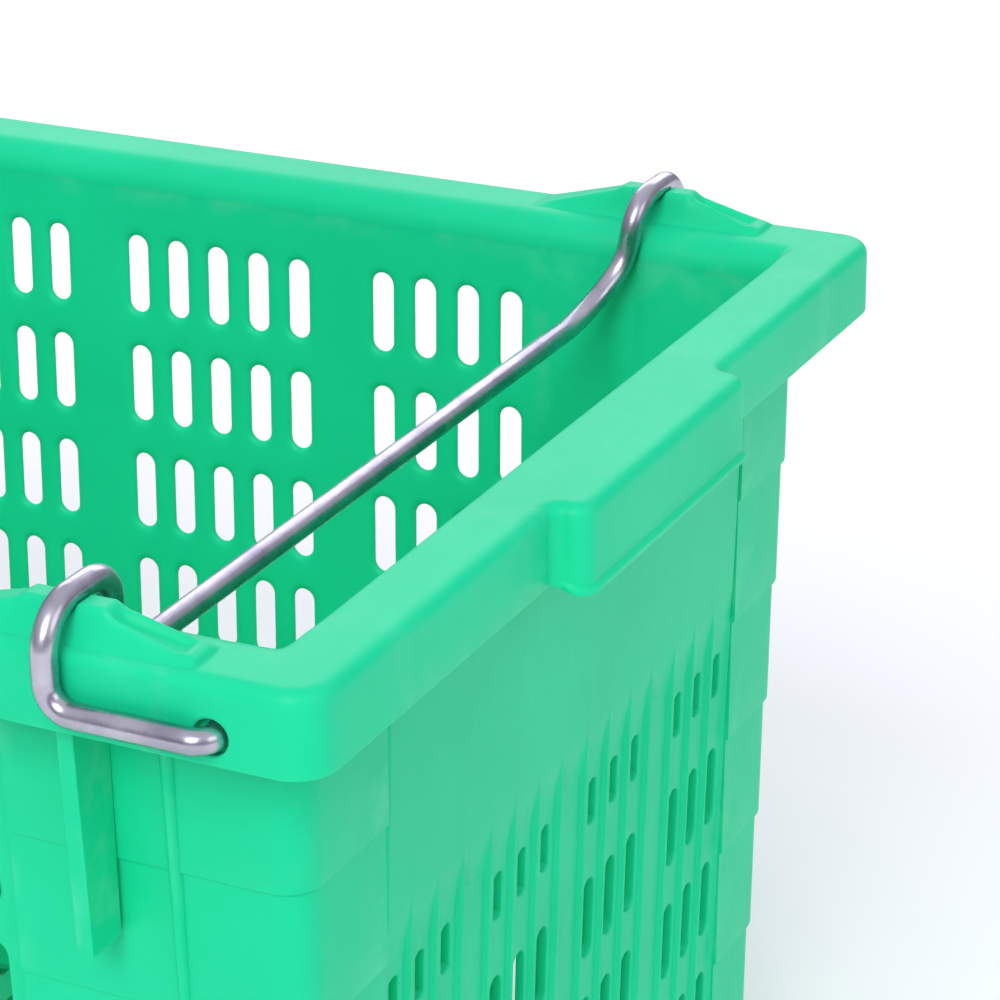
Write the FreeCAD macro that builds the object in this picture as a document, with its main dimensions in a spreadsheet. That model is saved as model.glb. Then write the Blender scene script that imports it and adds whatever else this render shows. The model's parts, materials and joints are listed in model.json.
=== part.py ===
import FreeCAD, Part
import math
import os
import Sketcher

# Stack-and-nest crate with two wire bail arms.  X runs along the crate, Y across it, +Z is up.
# The origin is the middle of the rest face.  Bodies are drawn with the rim's top at z = 0 and
# lifted by their Placement, so every depth below is a depth under the rim.

DIMENSIONS = {
    "crate_length": 600, "crate_width": 400, "rim_height": 350,
    "rim_plate": 3, "rim_depth": 25, "skirt_thick": 2.8, "rim_round": 3.6, "lip_round": 2.4,
    "rim_corner_radius": 12, "rim_inner_radius": 6, "rim_corner_reach": 46,
    "side_breadth": 30, "end_breadth": 22.8, "side_inset": 27.08, "end_inset": 17.5,
    "wall_thick": 2.8, "panel_thick": 5.18, "taper": 0.04, "wall_half": 186, "panel_half": 127,
    "slot_wide": 8.6, "slot_tall": 30, "slot_pitch": 17.25, "group_gap": 35,
    "first_row": 44.6, "row_pitch": 43.35,
    "end_slot_wide": 8, "end_slot_pitch": 16.5, "end_group_pitch": 68, "end_top_row": 137.5,
    "end_second_row": 180.7, "end_top_slot_tall": 16, "end_slot_tall": 29, "end_row_pitch": 45.2,
    "groove_wide": 13.5, "groove_deep": 1.6, "groove_top": 108, "groove_run": 18, "groove_foot": 332,
    "lap_first": 75, "lap_pitch": 45.5, "lap_step": 1.82, "lap_end_inset": 18.9,
    "lap_side_inset": 24.4, "post_radius": 11, "post_side_thick": 6.2, "post_end_thick": 4.4,
    "recess_from_end": 76, "recess_wide": 36,
    "grip_half": 60, "grip_reach": 10.5, "grip_depth": 28, "grip_radius": 9,
    "grip_bead": 1.2, "grip_bead_tall": 3, "grip_bead_root": 0.5,
    "base_thick": 8, "base_skin": 3, "base_radius": 12, "cell_pitch": 36, "cell_wall": 3,
    "cell_slot_wide": 9, "cell_slot_gap": 15,
    "wire_radius": 3.75, "pivot_from_end": 30, "pivot_depth": 16.5, "pivot_clearance": 0.08,
    "pivot_hole": 5.4, "pivot_hole_shift": 0.5, "boss_radius": 6.5, "boss_long": 9, "wire_end": 184,
    "arm_gap": 0.5, "saddle_from_end": 77.5, "arm_top": 11.2, "arm_inner": 168.8,
    "knee_from_end": 81, "knee_depth": 11, "bar_from_end": 89, "bar_depth": 27, "bar_half": 150,
    "bend_pivot": 5.8, "bend_foot": 11, "bend_top": 13, "bend_knee": 18, "bend_bar": 40,
    "seat_clearance": 0.05,
    "saddle_tall": 10.3, "saddle_shoulder": 8.3, "saddle_toe": 2.4, "saddle_inner": 184.5,
    "saddle_wide": 11.5, "saddle_start": 124, "saddle_stop": 38, "saddle_flat_start": 90,
    "saddle_flat_stop": 65, "saddle_bevel": 2, "dimple_wide": 6, "dimple_deep": 2.6,
    "dimple_start": 3, "dimple_ramp": 2, "cutter_margin": 1,
    "fin_thick": 4.8, "fin_foot": 98.5, "fin_step": 3.6, "fin_draft": 6.7, "fin_near_end": 77.3,
    "stud_thick": 4.8, "stud_near_end": 56, "stud_proud": 4.1,
}
ROWS = 7
END_ROWS = 4
BANDS = 7
CELLS_LONG = 14
CELLS_WIDE = 8
MATCH = 0.01

os.makedirs("parts", exist_ok=True)
doc = FreeCAD.newDocument("bail_arm_crate")
sheet = doc.addObject("Spreadsheet::Sheet", "sizes")
for row, (alias, number) in enumerate(DIMENSIONS.items(), start=1):
    sheet.set(f"A{row}", alias.replace("_", " "))
    sheet.set(f"B{row}", str(number))
    sheet.setAlias(f"B{row}", alias)
doc.recompute()


class Size:
    """A number together with the sheet expression that drives it."""

    def __init__(self, value, text):
        self.value = value
        self.text = text

    @staticmethod
    def of(other):
        return other if isinstance(other, Size) else Size(float(other), repr(float(other)))

    def __add__(self, other):
        other = Size.of(other)
        return Size(self.value + other.value, f"({self.text} + {other.text})")

    def __sub__(self, other):
        other = Size.of(other)
        return Size(self.value - other.value, f"({self.text} - {other.text})")

    def __mul__(self, other):
        other = Size.of(other)
        return Size(self.value * other.value, f"({self.text} * {other.text})")

    def __neg__(self):
        return Size(-self.value, f"(-1 * {self.text})")

    def __rsub__(self, other):
        return Size.of(other) - self

    __radd__ = __add__
    __rmul__ = __mul__


class Sizes:
    """Reads a driving dimension from the sheet by its alias."""

    def __getattr__(self, alias):
        return Size(float(sheet.get(alias)), f"sizes.{alias}")


dim = Sizes()


def bind(thing, name, size):
    """Drive one property of an object from the sheet."""
    thing.setExpression(name, Size.of(size).text)


def new_body(label):
    body = doc.addObject("PartDesign::Body", label)
    body.Label = label
    bind(body, "Placement.Base.z", dim.rim_height)
    return body


def origin_plane(body, role):
    return next(item for item in body.Origin.OriginFeatures if item.Role == role)


def new_sketch(body, role, lift=None):
    """A sketch on one of the body's own origin planes, moved along the plane's normal by lift."""
    sketch = body.newObject("Sketcher::SketchObject", body.Label + "_sketch")
    sketch.AttachmentSupport = [(origin_plane(body, role), "")]
    sketch.MapMode = "FlatFace"
    if lift is not None:
        bind(sketch, "AttachmentOffset.Base.z", lift)
    return sketch


def pin_point(sketch, geometry, position, x, y):
    """Hold one point of the sketch at (x, y) from the sketch's origin."""
    for kind, size in (("DistanceX", x), ("DistanceY", y)):
        size = Size.of(size)
        index = sketch.addConstraint(Sketcher.Constraint(kind, -1, 1, geometry, position, size.value))
        bind(sketch, f"Constraints[{index}]", size)


def polygon(sketch, corners):
    """A closed outline of straight lines through the corners."""
    first = sketch.GeometryCount
    spots = [FreeCAD.Vector(Size.of(x).value, Size.of(y).value, 0) for x, y in corners]
    count = len(spots)
    for i in range(count):
        sketch.addGeometry(Part.LineSegment(spots[i], spots[(i + 1) % count]), False)
    for i in range(count):
        after = first + (i + 1) % count
        sketch.addConstraint(Sketcher.Constraint("Coincident", first + i, 2, after, 1))
    for i, (x, y) in enumerate(corners):
        pin_point(sketch, first + i, 1, x, y)


def circle(sketch, x, y, radius):
    middle = FreeCAD.Vector(Size.of(x).value, Size.of(y).value, 0)
    index = sketch.addGeometry(Part.Circle(middle, FreeCAD.Vector(0, 0, 1), radius.value), False)
    pin_point(sketch, index, 3, x, y)
    hold = sketch.addConstraint(Sketcher.Constraint("Radius", index, radius.value))
    bind(sketch, f"Constraints[{hold}]", radius)


def obround(sketch, x, y, wide, tall):
    """An upright slot with round ends, its middle at (x, y)."""
    radius = wide * 0.5
    reach = (tall - wide) * 0.5
    axis = FreeCAD.Vector(0, 0, 1)
    top = FreeCAD.Vector(Size.of(x).value, (y + reach).value, 0)
    foot = FreeCAD.Vector(Size.of(x).value, (y - reach).value, 0)
    side = FreeCAD.Vector(radius.value, 0, 0)
    upper = sketch.addGeometry(Part.ArcOfCircle(Part.Circle(top, axis, radius.value), 0, math.pi), False)
    lower = sketch.addGeometry(
        Part.ArcOfCircle(Part.Circle(foot, axis, radius.value), math.pi, 2 * math.pi), False)
    left = sketch.addGeometry(Part.LineSegment(top - side, foot - side), False)
    right = sketch.addGeometry(Part.LineSegment(foot + side, top + side), False)
    joins = ((upper, 2, left, 1), (left, 2, lower, 1), (lower, 2, right, 1), (right, 2, upper, 1))
    for join in joins:
        sketch.addConstraint(Sketcher.Constraint("Tangent", *join))
    pin_point(sketch, upper, 3, x, y + reach)
    pin_point(sketch, lower, 3, x, y - reach)
    hold = sketch.addConstraint(Sketcher.Constraint("Radius", upper, radius.value))
    bind(sketch, f"Constraints[{hold}]", radius)


def extrude(body, kind, sketch, length, symmetric=False, reverse=False):
    """Pad or pocket a sketch by a length taken from the sheet."""
    feature = body.newObject("PartDesign::" + kind, body.Label + "_" + kind.lower())
    feature.Profile = sketch
    feature.SideType = "Symmetric" if symmetric else "One side"
    feature.Reversed = reverse
    bind(feature, "Length", length)
    return feature


def round_edges(body, radius, wanted):
    """Fillet the edges of the body's tip whose middle point passes the test."""
    doc.recompute()
    tip = body.Tip
    names = []
    for number, edge in enumerate(tip.Shape.Edges, start=1):
        middle = edge.valueAt((edge.FirstParameter + edge.LastParameter) / 2)
        if wanted(edge, middle):
            names.append(f"Edge{number}")
    fillet = body.newObject("PartDesign::Fillet", body.Label + "_fillet")
    fillet.Base = (tip, names)
    bind(fillet, "Radius", radius)
    return fillet


def is_upright(edge):
    return abs(edge.tangentAt(edge.FirstParameter).z) > 1 - MATCH


def is_upright_at(x, y):
    """Test for an upright edge that passes through (x, y)."""
    def test(edge, middle):
        return is_upright(edge) and abs(middle.x - x.value) < MATCH and abs(middle.y - y.value) < MATCH
    return test


def is_along_top(x, y):
    """Test for an edge of the rim's top on the line x or y, whichever is given."""
    def test(edge, middle):
        on_line = abs(middle.x - x.value) < MATCH if y is None else abs(middle.y - y.value) < MATCH
        return on_line and abs(middle.z) < MATCH
    return test


def repeat(body, feature, steps, mirror_role=None):
    """Repeat a feature along sketch axes, then across an origin plane."""
    body.Tip = feature
    multi = body.newObject("PartDesign::MultiTransform", body.Label + "_repeat")
    moves = []
    for axis_role, length, count, backwards in steps:
        line = body.newObject("PartDesign::LinearPattern", body.Label + "_line")
        line.Direction = (origin_plane(body, axis_role), [""])
        line.Reversed = backwards
        line.Occurrences = count
        bind(line, "Length", length * (count - 1))
        moves.append(line)
    if mirror_role:
        mirror = body.newObject("PartDesign::Mirrored", body.Label + "_mirror")
        mirror.MirrorPlane = (origin_plane(body, mirror_role), [""])
        moves.append(mirror)
    multi.Originals = [feature]
    multi.Transformations = moves
    body.Tip = multi
    return multi


def mirrored(source, label, along):
    """The same piece on the other side of the crate."""
    copy = doc.addObject("Part::Mirroring", label)
    copy.Label = label
    copy.Source = source
    copy.Base = FreeCAD.Vector(0, 0, 0)
    copy.Normal = along
    return copy


ALONG = FreeCAD.Vector(1, 0, 0)
ACROSS = FreeCAD.Vector(0, 1, 0)
nodes = []


def on_both_sides(source, label, along):
    nodes.append(source)
    nodes.append(mirrored(source, label, along))


def at_four_corners(source, stem):
    """The right front piece and its three mirror images."""
    nodes.append(source)
    back = mirrored(source, stem + "_right_back", ACROSS)
    nodes.append(back)
    nodes.append(mirrored(source, stem + "_left_front", ALONG))
    nodes.append(mirrored(back, stem + "_left_back", ALONG))


half_length = dim.crate_length * 0.5
half_width = dim.crate_width * 0.5
floor_depth = dim.rim_height - dim.base_thick


def side_face(depth):
    """Distance of the long wall's outer face from the middle, at a depth under the rim."""
    return half_width - dim.side_inset - dim.taper * depth


def end_face(depth):
    """Distance of the end panel's outer face from the middle, at a depth under the rim."""
    return half_length - dim.end_inset - dim.taper * depth


def build_wall():
    """Tapered long wall with rows of ventilation slots in groups of four, five, five and four."""
    body = new_body("wall_front")
    section = new_sketch(body, "YZ_Plane")
    top = dim.rim_plate
    polygon(section, [(-side_face(top), -top), (-side_face(floor_depth), -floor_depth),
                      (dim.wall_thick - side_face(floor_depth), -floor_depth),
                      (dim.wall_thick - side_face(top), -top)])
    extrude(body, "Pad", section, dim.wall_half * 2, symmetric=True)
    inner = dim.group_gap * 0.5
    outer = inner + dim.slot_pitch * 4 + dim.group_gap
    for start, count in ((inner, 5), (outer, 4)):
        slot = new_sketch(body, "XZ_Plane")
        obround(slot, start, -dim.first_row, dim.slot_wide, dim.slot_tall)
        cut = extrude(body, "Pocket", slot, dim.crate_width * 2, symmetric=True)
        steps = [("X_Axis", dim.slot_pitch, count, False), ("Z_Axis", dim.row_pitch, ROWS, True)]
        repeat(body, cut, steps, "YZ_Plane")
    return body


def build_panel():
    """Raised end panel: upright grooves fade in below the grip and hold the slots."""
    body = new_body("wall_right")
    section = new_sketch(body, "XZ_Plane")
    top = dim.rim_plate
    polygon(section, [(end_face(top), -top), (end_face(floor_depth), -floor_depth),
                      (end_face(floor_depth) - dim.panel_thick, -floor_depth),
                      (end_face(top) - dim.panel_thick, -top)])
    extrude(body, "Pad", section, dim.panel_half * 2, symmetric=True)
    first = dim.end_group_pitch * 0.5 - dim.end_slot_pitch
    groove = new_sketch(body, "XZ_Plane", -first)
    run_out = dim.groove_top + dim.groove_run
    polygon(groove, [(end_face(dim.groove_top), -dim.groove_top),
                     (end_face(run_out) - dim.groove_deep, -run_out),
                     (end_face(dim.groove_foot) - dim.groove_deep, -dim.groove_foot),
                     (end_face(dim.groove_foot) + dim.cutter_margin, -dim.groove_foot),
                     (end_face(dim.groove_top) + dim.cutter_margin, -dim.groove_top)])
    cut = extrude(body, "Pocket", groove, dim.groove_wide, symmetric=True)
    across = [("Y_Axis", dim.end_slot_pitch, 3, False), ("Y_Axis", dim.end_group_pitch, 2, False)]
    repeat(body, cut, across, "XZ_Plane")
    high = new_sketch(body, "YZ_Plane")
    obround(high, first, -dim.end_top_row, dim.end_slot_wide, dim.end_top_slot_tall)
    cut = extrude(body, "Pocket", high, dim.crate_length * 2, symmetric=True)
    repeat(body, cut, across, "XZ_Plane")
    low = new_sketch(body, "YZ_Plane")
    obround(low, first, -dim.end_second_row, dim.end_slot_wide, dim.end_slot_tall)
    cut = extrude(body, "Pocket", low, dim.crate_length * 2, symmetric=True)
    down = [("Z_Axis", dim.end_row_pitch, END_ROWS, True)]
    repeat(body, cut, across + down, "XZ_Plane")
    return body


def band_depths():
    """Depths where each lapped band of a corner post starts and stops."""
    edges = [dim.rim_plate] + [dim.lap_first + dim.lap_pitch * k for k in range(BANDS - 1)]
    edges.append(floor_depth)
    return list(zip(edges[:-1], edges[1:]))


def band_side(k):
    return half_width - dim.lap_side_inset - dim.lap_step * k


def band_end(k):
    return half_length - dim.lap_end_inset - dim.lap_step * k


def build_post():
    """Corner post: bands that step inwards at every lap line, and a recess inside for the arm's leg."""
    body = new_body("corner_post_right_front")
    recess_x = half_length - dim.recess_from_end
    for k, (top, foot) in enumerate(band_depths()):
        plan = new_sketch(body, "XY_Plane", -top)
        side, end = band_side(k), band_end(k)
        polygon(plan, [(dim.wall_half, -side), (end, -side), (end, -dim.panel_half),
                       (end - dim.post_end_thick, -dim.panel_half),
                       (end - dim.post_end_thick, dim.post_side_thick - side),
                       (recess_x, dim.post_side_thick - side), (recess_x, dim.wall_thick - side),
                       (dim.wall_half, dim.wall_thick - side)])
        extrude(body, "Pad", plan, foot - top, reverse=True)
    doc.recompute()

    def corners_at(end_thick, side_thick):
        tests = [is_upright_at(band_end(k) - end_thick, side_thick - band_side(k)) for k in range(BANDS)]
        return lambda edge, middle: any(test(edge, middle) for test in tests)

    round_edges(body, dim.post_radius, corners_at(0, 0))
    round_edges(body, dim.post_radius - dim.post_end_thick, corners_at(dim.post_end_thick, dim.post_side_thick))
    return body


def rim_section(sketch, outside, breadth, depth, sign):
    """Upside-down U of the rim: top plate out to the skirt; the wall below closes the other side."""
    skirt = dim.skirt_thick
    polygon(sketch, [(outside * sign, -depth), (outside * sign, 0), ((outside - breadth) * sign, 0),
                     ((outside - breadth) * sign, -dim.rim_plate),
                     ((outside - skirt) * sign, -dim.rim_plate), ((outside - skirt) * sign, -depth)])


def build_side_rail():
    """Long rim rail; its lip is recessed beside both saddles, where the arms' legs pass."""
    body = new_body("rim_rail_front")
    section = new_sketch(body, "YZ_Plane")
    rim_section(section, half_width, dim.side_breadth, dim.rim_depth, -1.0)
    extrude(body, "Pad", section, (half_length - dim.rim_corner_reach) * 2, symmetric=True)
    for y, radius in ((-half_width, dim.rim_round), (dim.side_breadth - half_width, dim.lip_round)):
        round_edges(body, radius, is_along_top(None, y))
    recess = new_sketch(body, "XY_Plane")
    stop = half_length - dim.recess_from_end
    start = stop - dim.recess_wide
    deep = dim.lap_side_inset + dim.wall_thick - half_width
    shallow = dim.side_breadth + dim.cutter_margin - half_width
    for sign in (-1, 1):
        polygon(recess, [(start * sign, deep), (stop * sign, deep), (stop * sign, shallow),
                         (start * sign, shallow)])
    extrude(body, "Pocket", recess, dim.rim_plate + dim.cutter_margin)
    return body


def build_end_rail():
    """End rim between a corner and the hand grip."""
    body = new_body("rim_rail_right_front")
    section = new_sketch(body, "XZ_Plane", dim.grip_half)
    rim_section(section, half_length, dim.end_breadth, dim.rim_depth, 1.0)
    extrude(body, "Pad", section, half_width - dim.rim_corner_reach - dim.grip_half)
    for x, radius in ((half_length, dim.rim_round), (half_length - dim.end_breadth, dim.lip_round)):
        round_edges(body, radius, is_along_top(x, None))
    return body


def build_corner():
    """Rim corner with the hole for the arm's pivot in its skirt."""
    body = new_body("rim_corner_right_front")
    reach_x = half_length - dim.rim_corner_reach
    reach_y = half_width - dim.rim_corner_reach
    lip_x = half_length - dim.end_breadth
    lip_y = half_width - dim.side_breadth
    plate = new_sketch(body, "XY_Plane")
    polygon(plate, [(reach_x, -half_width), (half_length, -half_width), (half_length, -reach_y),
                    (lip_x, -reach_y), (lip_x, -lip_y), (reach_x, -lip_y)])
    extrude(body, "Pad", plate, dim.rim_plate, reverse=True)
    inner_x = half_length - dim.skirt_thick
    inner_y = half_width - dim.skirt_thick
    skirt = new_sketch(body, "XY_Plane")
    polygon(skirt, [(reach_x, -half_width), (half_length, -half_width), (half_length, -reach_y),
                    (inner_x, -reach_y), (inner_x, -inner_y), (reach_x, -inner_y)])
    extrude(body, "Pad", skirt, dim.rim_depth, reverse=True)
    round_edges(body, dim.rim_corner_radius, is_upright_at(half_length, -half_width))
    round_edges(body, dim.rim_corner_radius - dim.skirt_thick, is_upright_at(inner_x, -inner_y))
    round_edges(body, dim.rim_inner_radius, is_upright_at(lip_x, -lip_y))
    pocket_sketch = new_sketch(body, "XZ_Plane", half_width - dim.skirt_thick * 2)
    hole_x = half_length - dim.pivot_from_end - dim.pivot_hole_shift
    circle(pocket_sketch, hole_x, -dim.pivot_depth, dim.pivot_hole)
    extrude(body, "Pocket", pocket_sketch, dim.skirt_thick * 4, reverse=True)

    def on_rim_edge(edge, middle):
        """True along the top's outer border, corner arc included."""
        corner = dim.rim_corner_radius.value
        over_x = middle.x - (half_length.value - corner)
        over_y = -middle.y - (half_width.value - corner)
        away = math.hypot(over_x, over_y) if over_x > 0 and over_y > 0 else max(over_x, over_y)
        return abs(middle.z) < MATCH and abs(away - corner) < MATCH

    round_edges(body, dim.rim_round, on_rim_edge)
    return body


def build_grip():
    """Hand grip: the end rim pushed outwards into a hollow hold with a bead along its foot."""
    body = new_body("hand_grip_right")
    lip_x = half_length - dim.end_breadth
    front = half_length + dim.grip_reach
    half = dim.grip_half
    thick = dim.skirt_thick
    plate = new_sketch(body, "XY_Plane")
    polygon(plate, [(lip_x, -half), (front, -half), (front, half), (lip_x, half)])
    extrude(body, "Pad", plate, dim.rim_plate, reverse=True)
    skirt = new_sketch(body, "XY_Plane")
    root = half_length - thick
    polygon(skirt, [(root, -half), (front, -half), (front, half), (root, half),
                    (root, half - thick), (front - thick, half - thick),
                    (front - thick, thick - half), (root, thick - half)])
    extrude(body, "Pad", skirt, dim.grip_depth, reverse=True)
    for side in (-1.0, 1.0):
        round_edges(body, dim.grip_radius, is_upright_at(front, half * side))
        inner = (half - thick) * side
        round_edges(body, dim.grip_radius - thick, is_upright_at(front - thick, inner))

    def on_grip_edge(edge, middle):
        """True along the front border and round the two bends, where a grip meets its top."""
        bend = dim.grip_radius.value
        past_bends = abs(middle.y) > half.value - bend and middle.x > front.value - bend
        return abs(middle.z) < MATCH and (abs(middle.x - front.value) < MATCH or past_bends)

    round_edges(body, dim.rim_round, on_grip_edge)
    bead = new_sketch(body, "XZ_Plane")
    low = -dim.grip_depth
    polygon(bead, [(front - thick, low), (front + dim.grip_bead, low),
                   (front + dim.grip_bead, low + dim.grip_bead_tall * 0.5),
                   (front - dim.grip_bead_root, low + dim.grip_bead_tall),
                   (front - thick, low + dim.grip_bead_tall)])
    extrude(body, "Pad", bead, (half - dim.grip_radius) * 2, symmetric=True)
    return body


def build_boss():
    """Short tube behind the skirt in which the arm's pivot turns."""
    parts = []
    for name, radius in (("pivot_boss_shell", dim.boss_radius),
                         ("pivot_boss_bore", dim.wire_radius + dim.pivot_clearance)):
        tube = doc.addObject("Part::Cylinder", name)
        bind(tube, "Radius", radius)
        bind(tube, "Height", dim.boss_long)
        tube.Placement.Rotation = FreeCAD.Rotation(FreeCAD.Vector(1, 0, 0), -90)
        bind(tube, "Placement.Base.x", half_length - dim.pivot_from_end)
        bind(tube, "Placement.Base.y", dim.skirt_thick - half_width)
        bind(tube, "Placement.Base.z", dim.rim_height - dim.pivot_depth)
        parts.append(tube)
    boss = doc.addObject("Part::Cut", "pivot_boss_right_front")
    boss.Label = "pivot_boss_right_front"
    boss.Base, boss.Tool = parts
    return boss


def rounded_wire(corners, radii):
    """Straight runs through the corners, joined by arcs of the given radii."""
    edges = []
    start = corners[0]
    for before, corner, after, radius in zip(corners, corners[1:], corners[2:], radii):
        inward = (before - corner).normalize()
        outward = (after - corner).normalize()
        half_angle = inward.getAngle(outward) / 2
        reach = radius / math.tan(half_angle)
        middle = (inward + outward).normalize()
        bend_start = corner + inward * reach
        bend_stop = corner + outward * reach
        bend_top = corner + middle * (radius / math.sin(half_angle) - radius)
        edges.append(Part.makeLine(start, bend_start))
        edges.append(Part.Arc(bend_start, bend_top, bend_stop).toShape())
        start = bend_stop
    edges.append(Part.makeLine(start, corners[-1]))
    return Part.Wire(edges)


def build_route():
    """Centreline of the bail arm from pivot to pivot, folded inwards across the opening."""
    size = {name: float(sheet.get(name)) for name in DIMENSIONS}
    pivot_x = size["crate_length"] / 2 - size["pivot_from_end"]
    seat_x = size["crate_length"] / 2 - size["saddle_from_end"]
    knee_x = size["crate_length"] / 2 - size["knee_from_end"]
    bar_x = size["crate_length"] / 2 - size["bar_from_end"]
    outside = size["crate_width"] / 2 + size["arm_gap"] + size["wire_radius"]
    rim = size["rim_height"]
    pivot_z = rim - size["pivot_depth"]
    seat_z = rim + size["arm_top"]
    half = [(pivot_x, size["wire_end"], pivot_z), (pivot_x, outside, pivot_z),
            (seat_x, outside, pivot_z), (seat_x, outside, seat_z),
            (seat_x, size["arm_inner"], seat_z),
            (knee_x, size["arm_inner"], rim - size["knee_depth"]),
            (bar_x, size["bar_half"], rim - size["bar_depth"])]
    front = [FreeCAD.Vector(x, -y, z) for x, y, z in half]
    back = [FreeCAD.Vector(x, y, z) for x, y, z in reversed(half)]
    bends = [size["bend_pivot"], size["bend_foot"], size["bend_top"], size["bend_top"],
             size["bend_knee"], size["bend_bar"]]
    route = doc.addObject("Part::Feature", "arm_route")
    route.Shape = rounded_wire(front + back, bends + bends[::-1])
    return route


def sweep_along(route, label, radius):
    """Round bar of the given radius along the arm's centreline."""
    start = route.Shape.Edges[0].Vertexes[0].Point
    ring = doc.addObject("Part::Circle", label + "_section")
    bind(ring, "Radius", radius)
    ring.Placement = FreeCAD.Placement(start, FreeCAD.Rotation(FreeCAD.Vector(1, 0, 0), 90))
    bar = doc.addObject("Part::Sweep", label)
    bar.Label = label
    bar.Sections = [ring]
    bar.Spine = (route, [f"Edge{n}" for n in range(1, len(route.Shape.Edges) + 1)])
    bar.Solid = True
    bar.Frenet = False
    return bar


def build_saddle(route):
    """Low ramped hump on the rim with a seat in which the folded arm lies."""
    body = new_body("saddle_hump")
    profile = new_sketch(body, "XZ_Plane", dim.saddle_inner)
    start = half_length - dim.saddle_start
    stop = half_length - dim.saddle_stop
    flat_start = half_length - dim.saddle_flat_start
    flat_stop = half_length - dim.saddle_flat_stop
    polygon(profile, [(start, 0), (flat_start - dim.saddle_bevel, dim.saddle_shoulder),
                      (flat_start, dim.saddle_tall), (flat_stop, dim.saddle_tall),
                      (flat_stop + dim.saddle_bevel, dim.saddle_shoulder), (stop, dim.saddle_toe),
                      (stop + dim.saddle_bevel * 0.5, 0)])
    extrude(body, "Pad", profile, dim.saddle_wide)
    dimple = new_sketch(body, "XZ_Plane", dim.saddle_inner + dim.saddle_wide * 0.5)
    mouth = dim.saddle_tall + dim.cutter_margin
    first, last = flat_stop + dim.dimple_start, stop - dim.dimple_start
    polygon(dimple, [(first + dim.dimple_ramp, dim.saddle_shoulder - dim.dimple_deep), (first, mouth),
                     (last, mouth), (last - dim.dimple_ramp, dim.saddle_toe)])
    extrude(body, "Pocket", dimple, dim.dimple_wide, symmetric=True)
    saddle = doc.addObject("Part::Cut", "bail_saddle_right_front")
    saddle.Label = "bail_saddle_right_front"
    saddle.Base = body
    saddle.Tool = sweep_along(route, "arm_room", dim.wire_radius + dim.seat_clearance)
    return saddle


def stepped_back(top, foot):
    """Outline of a corner post's side face between two depths, from the foot upwards."""
    points = []
    for k, (start, stop) in reversed(list(enumerate(band_depths()))):
        if start.value >= foot.value or stop.value <= top.value:
            continue
        lower = foot if stop.value > foot.value else stop
        upper = top if start.value < top.value else start
        points += [(-band_side(k), -lower), (-band_side(k), -upper)]
    return points


def upright_rib(label, near_end, thick, fronts, foot):
    """Rib on the corner post's side face; fronts are its reach at the rim, skirt foot and its own foot."""
    body = new_body(label)
    outline = new_sketch(body, "YZ_Plane", half_length - near_end)
    depths = (dim.rim_plate, dim.rim_depth, foot)
    edge = [(-front, -depth) for front, depth in zip(fronts, depths)]
    polygon(outline, edge + stepped_back(dim.rim_plate, foot))
    extrude(body, "Pad", outline, thick, reverse=True)
    return body


def build_fin():
    """Gusset under the saddle, from the wall out to the skirt."""
    inside = half_width - dim.skirt_thick
    fronts = (inside, inside - dim.fin_step, inside - dim.fin_draft)
    return upright_rib("bail_fin_right_front", dim.fin_near_end, dim.fin_thick, fronts, dim.fin_foot)


def build_stud():
    """Narrow stiffening rib that runs down the post beside the gusset."""
    fronts = [half_width - dim.lap_side_inset - dim.taper * depth + dim.stud_proud
              for depth in (dim.rim_plate, dim.rim_depth, floor_depth)]
    return upright_rib("post_rib_right_front", dim.stud_near_end, dim.stud_thick, fronts, floor_depth)


def build_base():
    """Floor grid: a thin skin over a lattice of ribs, with a slot in every cell."""
    body = new_body("base_grid")
    bind(body, "Placement.Base.z", dim.base_thick)
    long_half = end_face(floor_depth)
    wide_half = side_face(floor_depth)
    plan = new_sketch(body, "XY_Plane")
    polygon(plan, [(-long_half, -wide_half), (long_half, -wide_half),
                   (long_half, wide_half), (-long_half, wide_half)])
    extrude(body, "Pad", plan, dim.base_thick, reverse=True)
    round_edges(body, dim.base_radius, lambda edge, middle: is_upright(edge))
    first_x = -dim.cell_pitch * ((CELLS_LONG - 1) / 2)
    first_y = -dim.cell_pitch * ((CELLS_WIDE - 1) / 2)
    reach = (dim.cell_pitch - dim.cell_wall) * 0.5
    cell = new_sketch(body, "XY_Plane", -dim.base_thick)
    polygon(cell, [(first_x - reach, first_y - reach), (first_x + reach, first_y - reach),
                   (first_x + reach, first_y + reach), (first_x - reach, first_y + reach)])
    cut = extrude(body, "Pocket", cell, dim.base_thick - dim.base_skin, reverse=True)
    steps = [("X_Axis", dim.cell_pitch, CELLS_LONG, False),
             ("Y_Axis", dim.cell_pitch, CELLS_WIDE, False)]
    repeat(body, cut, steps)
    slot = new_sketch(body, "XY_Plane")
    for side in (-0.5, 0.5):
        obround(slot, first_x + dim.cell_slot_gap * side, first_y,
                dim.cell_slot_wide, dim.cell_pitch - dim.cell_slot_wide)
    cut = extrude(body, "Pocket", slot, dim.base_thick * 4, symmetric=True)
    repeat(body, cut, steps)
    return body


arm_route = build_route()
nodes.append(build_base())
on_both_sides(build_wall(), "wall_back", ACROSS)
on_both_sides(build_panel(), "wall_left", ALONG)
at_four_corners(build_post(), "corner_post")
on_both_sides(build_side_rail(), "rim_rail_back", ACROSS)
at_four_corners(build_end_rail(), "rim_rail")
at_four_corners(build_corner(), "rim_corner")
on_both_sides(build_grip(), "hand_grip_left", ALONG)
at_four_corners(build_saddle(arm_route), "bail_saddle")
at_four_corners(build_fin(), "bail_fin")
at_four_corners(build_stud(), "post_rib")
at_four_corners(build_boss(), "pivot_boss")
on_both_sides(sweep_along(arm_route, "bail_arm_right", dim.wire_radius), "bail_arm_left", ALONG)

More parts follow.
